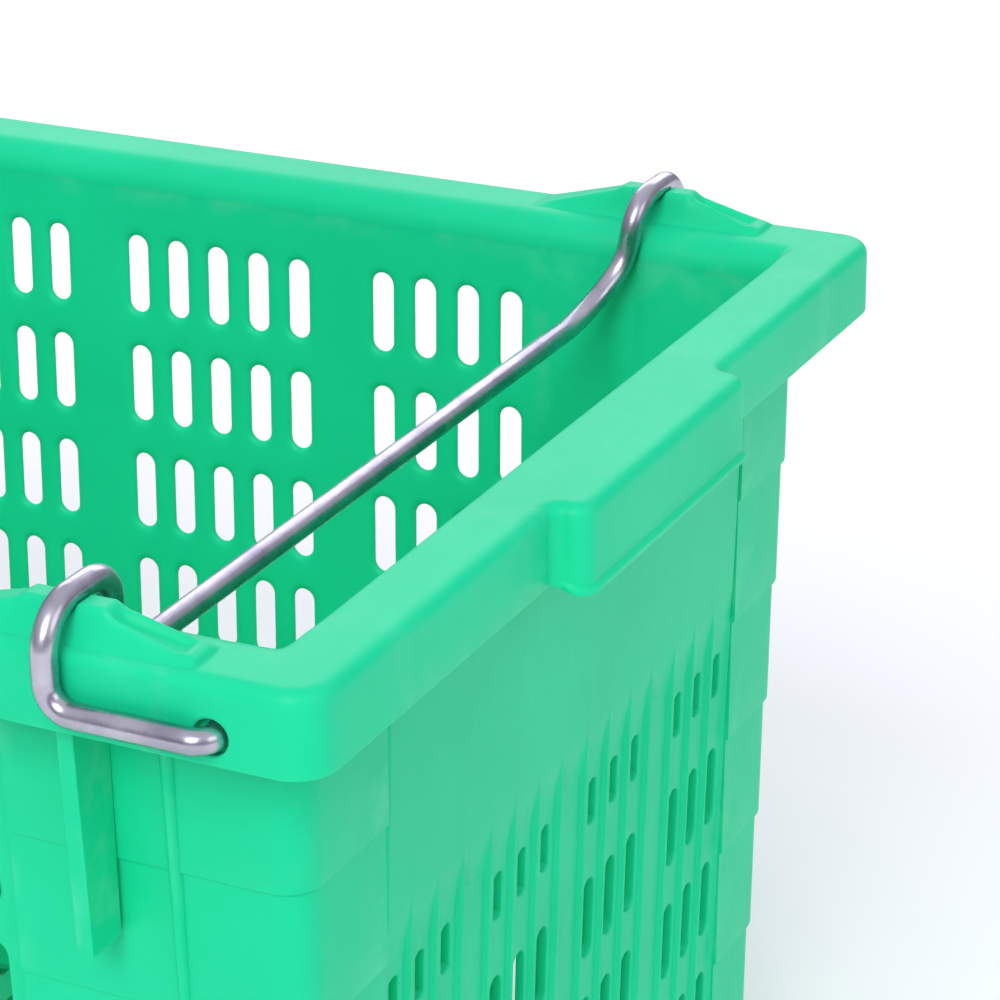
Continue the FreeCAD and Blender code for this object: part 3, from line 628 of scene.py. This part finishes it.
def build_fins(material):
    """Gusset plate from the post out to the skirt, under each saddle."""
    foot = RIM_TOP - FIN_LOW.z
    root = HALF_WIDTH - LAP_SIDE - FIN_ROOT
    front = -FIN_LOW.y
    outline = [(front, PLATE), (front - FIN_STEP, SKIRT_DEPTH), (front - FIN_DRAFT, foot), (root, foot),
               (root, PLATE)]
    rings = [[(x, -y, RIM_TOP - depth) for y, depth in outline] for x in (FIN_LEFT, FIN_RIGHT)]
    work = Patchwork()
    work.rings(rings)
    work.cap(rings[0])
    work.cap(rings[1])
    for corner, sx, sy in FOUR_CORNERS:
        fin = work.piece(f"fin_{corner}", material, "crate", [f"bail_fin_{corner}"], (sx, sy))
        round_corners(fin, FIN_ROUND)


def round_corners(obj, radius):
    """Rounds an object's crisp edges."""
    bevel = obj.modifiers.new("rounding", "BEVEL")
    bevel.width = radius * MM
    bevel.segments = 3
    bevel.limit_method = "ANGLE"
    bevel.angle_limit = math.radians(SHARP)
    bevel.harden_normals = True


# ---------------------------------------------------------------- saddles

SADDLE_LOW, SADDLE_HIGH = box_mm("bail_saddle_right_front")
SEAT_X = HALF_LENGTH - 77.5
# Heights of the saddle's ridge over the rim along X: ramp, shoulder, flat top, long slope and toe.
RIDGE = ((SADDLE_LOW.x, 0.0), (SEAT_X - 15.5, 8.4), (SEAT_X - 12.5, 10.2), (SEAT_X + 12, 10.2),
         (SEAT_X + 15.0, 8.2), (SADDLE_HIGH.x - 1.0, 1.6), (SADDLE_HIGH.x, 0.0))
SEAT_ROUND = 3.87
SADDLE_OUT, SADDLE_IN = 3.2, 18.6
FLANK, FLANK_LEAN, INNER_FLANK = 3.4, 0.12, 0.6
FLANK_START = (-0.15, -0.1)
# The pocket is a channel sunk into the slope, which widens and drifts inwards towards the toe.
POCKET_START, POCKET_STOP, POCKET_FADE, POCKET_DEEP = SEAT_X + 12.5, SADDLE_HIGH.x - 3, 5.0, 2.2
POCKET_INSET, POCKET_DRIFT = 9.6, 0.05
POCKET_HALF, POCKET_WIDENING = 2.2, 0.10
POCKET_EDGE = (0.45, 1.2)
BURIED = 1.0
LEAST_RISE, SUNK = 0.02, 0.35
SADDLE_INSETS = steps(0.8, 19.4, 36)
SADDLE_SHARP = 60.0


def rim_drop(inset):
    """How far the rim's rounded outer edge lies under its top at an inset."""
    over = max(RIM_ROUND - inset, 0.0)
    return RIM_ROUND - math.sqrt(max(RIM_ROUND * RIM_ROUND - over * over, 0.0))


def saddle_height(x, inset):
    """Height over the rim at a place, below zero where the saddle has ended."""
    ridge = np.interp(x, [place for place, _ in RIDGE], [height for _, height in RIDGE])
    seat = ARM_TOP - math.sqrt(max(SEAT_ROUND ** 2 - (x - SEAT_X) ** 2, 0))
    crown = min(ridge, seat)
    flank = FLANK + crown * FLANK_LEAN
    outer = smooth(FLANK_START[0], 1.0, (inset - SADDLE_OUT) / flank)
    inner = smooth(FLANK_START[1], 1.0, (SADDLE_IN - inset) / (flank + INNER_FLANK))
    run = x - POCKET_START
    along = smooth(0, POCKET_FADE, run) * (1 - smooth(POCKET_STOP - POCKET_FADE, POCKET_STOP, x))
    half = POCKET_HALF + POCKET_WIDENING * run
    middle = POCKET_INSET + POCKET_DRIFT * run
    across = 1 - smooth(half * POCKET_EDGE[0], half * POCKET_EDGE[1], abs(inset - middle))
    return crown * outer * inner - POCKET_DEEP * along * across


def build_saddles(material):
    """Humps in which the arms lie; where they end, their surface dips under the rim's."""
    xs = sorted(set(steps(SADDLE_LOW.x - 1, SADDLE_HIGH.x + 1, 110) + [RIDGE[1][0], RIDGE[2][0]]))
    top, foot = [], []
    for x in xs:
        lifts = [saddle_height(x, inset) for inset in SADDLE_INSETS]
        lifts = [lift if lift > LEAST_RISE else -SUNK for lift in lifts]
        top.append([(x, inset - HALF_WIDTH, RIM_TOP - rim_drop(inset) + lift)
                    for inset, lift in zip(SADDLE_INSETS, lifts)])
        foot.append([(x, inset - HALF_WIDTH, RIM_TOP - rim_drop(inset) - BURIED) for inset in SADDLE_INSETS])
    work = Patchwork()
    for face in (top, foot):
        work.grid(face)
    for side in (0, -1):
        work.grid([top[side], foot[side]])
        work.grid([[row[side] for row in face] for face in (top, foot)])
    for corner, sx, sy in FOUR_CORNERS:
        work.piece(f"saddle_{corner}", material, "crate", [f"bail_saddle_{corner}"], (sx, sy), SADDLE_SHARP)


# ---------------------------------------------------------------- wire arms

WIRE_RADIUS = 3.75
ARM_GAP = 0.5
ARM_TOP, ARM_INNER = 11.2, 168.8
# KNEE and BAR are (x, depth) of the bends between an arch's leg and the crossbar.
KNEE, BAR = (HALF_LENGTH - 81, 11.0), (HALF_LENGTH - 89, 27.0)
BAR_HALF, WIRE_END = 150.0, 184.0
# Bend radii from the pivot to the crossbar.
BENDS = (5.2, 8.0, 13.0, 13.0, 18.0, 40.0)
END_TAPER = 0.8


def rounded_route(corners, radii, step=6.0):
    """Points along straight runs joined by arcs."""
    points = [corners[0]]
    for before, corner, after, radius in zip(corners, corners[1:], corners[2:], radii):
        inward = (before - corner).normalized()
        outward = (after - corner).normalized()
        half = inward.angle(outward) / 2
        reach = radius / math.tan(half)
        middle = corner + (inward + outward).normalized() * (radius / math.sin(half))
        start = corner + inward * reach - middle
        axis = start.cross(corner + outward * reach - middle).normalized()
        total = math.pi - 2 * half
        count = max(4, round(math.degrees(total) / step))
        points += [middle + Matrix.Rotation(total * k / count, 3, axis) @ start for k in range(count + 1)]
    return points + [corners[-1]]


def split_long(points, longest=12.0):
    """The same path with no run longer than longest."""
    found = [points[0]]
    for here, there in zip(points, points[1:]):
        count = max(1, math.ceil((there - here).length / longest))
        found += [here.lerp(there, k / count) for k in range(1, count + 1)]
    return found


def tube_rings(points, radius, sides=28):
    """Rings round a path, carried along it without twisting."""
    heading = (points[1] - points[0]).normalized()
    side = heading.orthogonal().normalized()
    rings = []
    for i, point in enumerate(points):
        ahead = points[min(i + 1, len(points) - 1)] - points[max(i - 1, 0)]
        turn = heading.rotation_difference(ahead.normalized())
        heading = ahead.normalized()
        side = (turn @ side).normalized()
        other = heading.cross(side)
        rings.append([point + radius * (math.cos(t) * side + math.sin(t) * other)
                      for t in steps(0, 2 * math.pi, sides)[:-1]])
    return rings


def build_arms(material):
    """Each arm is one bent wire: pivot, run along the skirt, arch over the saddle, leg and crossbar."""
    outside = HALF_WIDTH + ARM_GAP + WIRE_RADIUS
    seat_z, rim = RIM_TOP + ARM_TOP, RIM_TOP
    half = [(PIVOT.x, WIRE_END, PIVOT.z), (PIVOT.x, outside, PIVOT.z), (SEAT_X, outside, PIVOT.z),
            (SEAT_X, outside, seat_z), (SEAT_X, ARM_INNER, seat_z), (KNEE[0], ARM_INNER, rim - KNEE[1]),
            (BAR[0], BAR_HALF, rim - BAR[1])]
    corners = [Vector((x, -y, z)) for x, y, z in half] + [Vector(spot) for spot in reversed(half)]
    points = split_long(rounded_route(corners, BENDS + BENDS[::-1]))
    rings = tube_rings(points, WIRE_RADIUS)
    work = Patchwork()
    for end in (rings[0], rings[-1]):
        centre = sum((Vector(p) for p in end), Vector()) / len(end)
        small = [centre + (Vector(p) - centre) * END_TAPER for p in end]
        work.cap(small)
        work.rings([end, small])
    work.rings(rings)
    for side, sx in SIDES:
        arm = work.piece(f"wire_arm_{side}", material, f"arm_{side}", [f"bail_arm_{side}"], (sx, 1))


# ---------------------------------------------------------------- materials

def node_maker(material):
    """The material's shader, add(kind, inputs, **settings) for a new node, and the tree's link call."""
    material.use_nodes = True
    tree = material.node_tree
    shader = tree.nodes["Principled BSDF"]

    def add(kind, inputs=None, **settings):
        node = tree.nodes.new(kind)
        for key, value in settings.items():
            setattr(node, key, value)
        for key, value in (inputs or {}).items():
            if isinstance(value, bpy.types.NodeSocket):
                tree.links.new(value, node.inputs[key])
            else:
                node.inputs[key].default_value = value
        return node

    return shader, add, tree.links.new


def noise_of(add, where, scale, detail=3.0, stretch=(1, 1, 1), rough=0.55):
    spread = add("ShaderNodeMapping", {"Vector": where, "Scale": stretch})
    noise = add("ShaderNodeTexNoise", {"Vector": spread.outputs["Vector"], "Scale": scale,
                                       "Detail": detail, "Roughness": rough})
    return noise.outputs["Fac"]


def ramp_of(add, factor, stops):
    """Colour that follows a factor through (position, colour) stops."""
    node = add("ShaderNodeValToRGB", {"Fac": factor})
    ramp = node.color_ramp
    ramp.elements[0].position, ramp.elements[0].color = stops[0]
    ramp.elements[1].position, ramp.elements[1].color = stops[-1]
    for position, colour in stops[1:-1]:
        ramp.elements.new(position).color = colour
    return node.outputs["Color"]


def gloss_of(add, factor, smoothest, roughest):
    """Roughness that follows a noise between two values."""
    node = add("ShaderNodeMapRange", {"Value": factor, "From Min": 0.35, "From Max": 0.7,
                                      "To Min": smoothest, "To Max": roughest})
    return node.outputs["Result"]


def bump_of(add, height, strength, distance, under=None):
    """Bump with a depth in metres, laid over another one where under is given."""
    inputs = {"Height": height, "Strength": strength, "Distance": distance}
    if under is not None:
        inputs["Normal"] = under
    return add("ShaderNodeBump", inputs).outputs["Normal"]


def grey(level):
    return (level, level, level, 1)


PLASTIC_DEEP, PLASTIC_PALE = (0.006, 0.61, 0.29, 1), (0.010, 0.68, 0.335, 1)
# Paler green on the edges: partly worn plastic, partly a painted highlight along convex edges.
PLASTIC_RUBBED_AND_HIGHLIT = (0.2, 0.8, 0.5, 1)
PLASTIC_GLOSS = (0.38, 0.44)
PLASTIC_SHADER = {"Subsurface Weight": 0.15, "Subsurface Radius": (0.3, 1.0, 0.6), "Subsurface Scale": 0.004,
                  "Specular IOR Level": 0.28, "IOR": 1.33}
# Pointiness stops for the convex edges that get the painted highlight and the wear.
EDGE_HIGHLIGHT_STOPS = [(0.515, grey(0)), (0.60, grey(1))]
PATCH_STOPS = [(0.45, grey(0)), (0.62, grey(1))]
RUBBED_AND_HIGHLIGHT_SHARE = 0.2
WIRE_DULL, WIRE_BRIGHT = (0.36, 0.34, 0.43, 1), (0.60, 0.58, 0.66, 1)
WIRE_GLOSS = (0.24, 0.36)
# Noises as (scale, detail) and, where it isn't even, the stretch along X, Y and Z.
CLOUDS, PATCHES, SCUFFS = (9.0, 4.0), (70.0, 5.0), (260.0, 4.0, (1, 1, 0.25))
GRAIN, WAVES = (1700.0, 2.0), (22.0, 2.0)
TARNISH, BRUISES, DRAWING = (60.0, 5.0), (140.0, 3.0), (1400.0, 3.0, (1, 0.03, 1))
TONE_LOW, TONE_HIGH = 0.3, 0.7


def mix_colours(add, share, first, second):
    """A colour output that goes from the first to the fixed second colour."""
    node = add("ShaderNodeMix", {"Factor": share}, data_type="RGBA")
    colours = [socket for socket in node.inputs if socket.type == "RGBA"]
    node.id_data.links.new(first, colours[0])
    colours[1].default_value = second
    return next(socket for socket in node.outputs if socket.type == "RGBA")


def product(add, first, second):
    return add("ShaderNodeMath", {0: first, 1: second}, operation="MULTIPLY").outputs[0]


def moulded_plastic():
    """Green polyethylene: flow clouds, fine grain, scuffs, and paler edges that are partly worn plastic and
    partly a painted highlight.
    """
    material = bpy.data.materials.new("moulded_plastic")
    shader, add, link = node_maker(material)
    where = add("ShaderNodeTexCoord").outputs["Object"]
    body = ramp_of(add, noise_of(add, where, *CLOUDS), [(TONE_LOW, PLASTIC_DEEP), (TONE_HIGH, PLASTIC_PALE)])
    # Convex edges, found by pointiness, are painted paler in noise patches: a painted highlight, partly
    # standing for worn rubbing.
    edges = ramp_of(add, add("ShaderNodeNewGeometry").outputs["Pointiness"], EDGE_HIGHLIGHT_STOPS)
    patches = ramp_of(add, noise_of(add, where, *PATCHES), PATCH_STOPS)
    rubbed_and_highlit = product(add, product(add, edges, patches), RUBBED_AND_HIGHLIGHT_SHARE)
    link(mix_colours(add, rubbed_and_highlit, body, PLASTIC_RUBBED_AND_HIGHLIT), shader.inputs["Base Color"])
    link(gloss_of(add, noise_of(add, where, *SCUFFS), *PLASTIC_GLOSS), shader.inputs["Roughness"])
    grain = bump_of(add, noise_of(add, where, *GRAIN), 0.10, 0.0001)
    link(bump_of(add, noise_of(add, where, *WAVES), 0.25, 0.0010, grain), shader.inputs["Normal"])
    for key, value in PLASTIC_SHADER.items():
        shader.inputs[key].default_value = value
    return material


def zinc_wire():
    """Bright zinc-plated wire with drawing lines, tarnish and dull bruises."""
    material = bpy.data.materials.new("zinc_wire")
    shader, add, link = node_maker(material)
    where = add("ShaderNodeTexCoord").outputs["Object"]
    tint = ramp_of(add, noise_of(add, where, *TARNISH), [(TONE_LOW, WIRE_DULL), (TONE_HIGH, WIRE_BRIGHT)])
    link(tint, shader.inputs["Base Color"])
    shader.inputs["Metallic"].default_value = 1.0
    bruises = noise_of(add, where, *BRUISES)
    link(gloss_of(add, bruises, *WIRE_GLOSS), shader.inputs["Roughness"])
    drawn = bump_of(add, noise_of(add, where, *DRAWING), 0.06, 0.0001)
    link(bump_of(add, bruises, 0.12, 0.0003, drawn), shader.inputs["Normal"])
    return material


def pale_floor():
    """Matt studio floor, barely uneven in tone."""
    material = bpy.data.materials.new("pale_floor")
    shader, add, link = node_maker(material)
    where = add("ShaderNodeTexCoord").outputs["Object"]
    tone = ramp_of(add, noise_of(add, where, 2.0), [(TONE_LOW, grey(0.95)), (TONE_HIGH, grey(0.97))])
    link(tone, shader.inputs["Base Color"])
    shader.inputs["Roughness"].default_value = 0.9
    return material


# ---------------------------------------------------------------- build

plastic = moulded_plastic()
wire = zinc_wire()

for build in (build_long_walls, build_end_panels, build_side_rails, build_end_rails, build_grips,
              build_rim_corners, build_posts, build_studs, build_fins, build_saddles):
    build(plastic)
build_arms(wire)

# The base and the pivot bosses keep their CAD solids.
KEPT_ROUND = 0.4
for name in ["base_grid"] + [f"pivot_boss_{corner}" for corner, _, _ in FOUR_CORNERS]:
    node = frame["nodes"][name]
    node.data.materials.clear()
    node.data.materials.append(plastic)
    weld = node.modifiers.new("weld", "WELD")
    weld.merge_threshold = WELD * MM
    round_corners(node, KEPT_ROUND)

# ---------------------------------------------------------------- stage

# From here on lengths are metres.
FLOOR_SIZE, FLOOR_DROP = 14.0, 0.0003
bpy.ops.mesh.primitive_plane_add(size=FLOOR_SIZE, location=(0, 0, -FLOOR_DROP))
floor = bpy.context.object
floor.name = "floor"
floor.data.materials.append(pale_floor())


def area_light(name, place, aim, size, power, colour=(1, 1, 1)):
    """Soft box at a place, turned towards aim."""
    light = bpy.data.lights.new(name, "AREA")
    light.shape = "RECTANGLE"
    light.size, light.size_y = size
    light.energy = power
    light.color = colour
    obj = bpy.data.objects.new(name, light)
    bpy.context.scene.collection.objects.link(obj)
    obj.location = place
    obj.rotation_euler = (Vector(aim) - Vector(place)).to_track_quat("-Z", "Y").to_euler()


MIDDLE = (0, 0, 0.25)
area_light("front_key", (0.8, -3.8, 3.3), MIDDLE, (2.2, 2.2), 124)
area_light("right_fill", (2.6, -0.4, 1.5), MIDDLE, (1.4, 1.4), 9)
area_light("back_softbox", (-0.9, 2.6, 1.7), MIDDLE, (3.0, 1.4), 32, (0.90, 0.86, 1.0))

HORIZON, ZENITH = (0.30, 0.29, 0.36, 1), (0.95, 0.95, 1.0, 1)
ZENITH_HEIGHT = 0.9
SKY_STRENGTH = 0.85

world = bpy.data.worlds.new("studio")
bpy.context.scene.world = world
world.use_nodes = True
sky = world.node_tree
toward = sky.nodes.new("ShaderNodeTexCoord")
height = sky.nodes.new("ShaderNodeSeparateXYZ")
shade = sky.nodes.new("ShaderNodeValToRGB")
sky.links.new(toward.outputs["Generated"], height.inputs["Vector"])
sky.links.new(height.outputs["Z"], shade.inputs["Fac"])
sky.links.new(shade.outputs["Color"], sky.nodes["Background"].inputs["Color"])
for stop, (position, colour) in zip(shade.color_ramp.elements, ((0.0, HORIZON), (ZENITH_HEIGHT, ZENITH))):
    stop.position, stop.color = position, colour
sky.nodes["Background"].inputs["Strength"].default_value = SKY_STRENGTH

CAMERA_PLACE = Vector((0.69625, -0.88461, 0.73788))
CAMERA_TURN, CAMERA_DIP, CAMERA_ROLL = math.radians(26.61), math.radians(22.91), math.radians(0.86)
CAMERA_LENS, CAMERA_SENSOR = 126.11, 36.0

view_out = Vector((-math.sin(CAMERA_TURN) * math.cos(CAMERA_DIP),
                   math.cos(CAMERA_TURN) * math.cos(CAMERA_DIP), -math.sin(CAMERA_DIP)))
level_right = Vector((math.cos(CAMERA_TURN), math.sin(CAMERA_TURN), 0))
level_down = view_out.cross(level_right)
right = level_right * math.cos(CAMERA_ROLL) + level_down * math.sin(CAMERA_ROLL)
down = level_down * math.cos(CAMERA_ROLL) - level_right * math.sin(CAMERA_ROLL)
lens = bpy.data.cameras.new("camera")
lens.lens = CAMERA_LENS
lens.sensor_width = CAMERA_SENSOR
camera = bpy.data.objects.new("camera", lens)
bpy.context.scene.collection.objects.link(camera)
turned = Matrix((right, -down, -view_out)).transposed().to_4x4()
camera.matrix_world = Matrix.Translation(CAMERA_PLACE) @ turned
bpy.context.scene.camera = camera
bpy.context.scene.view_settings.view_transform = "Standard"
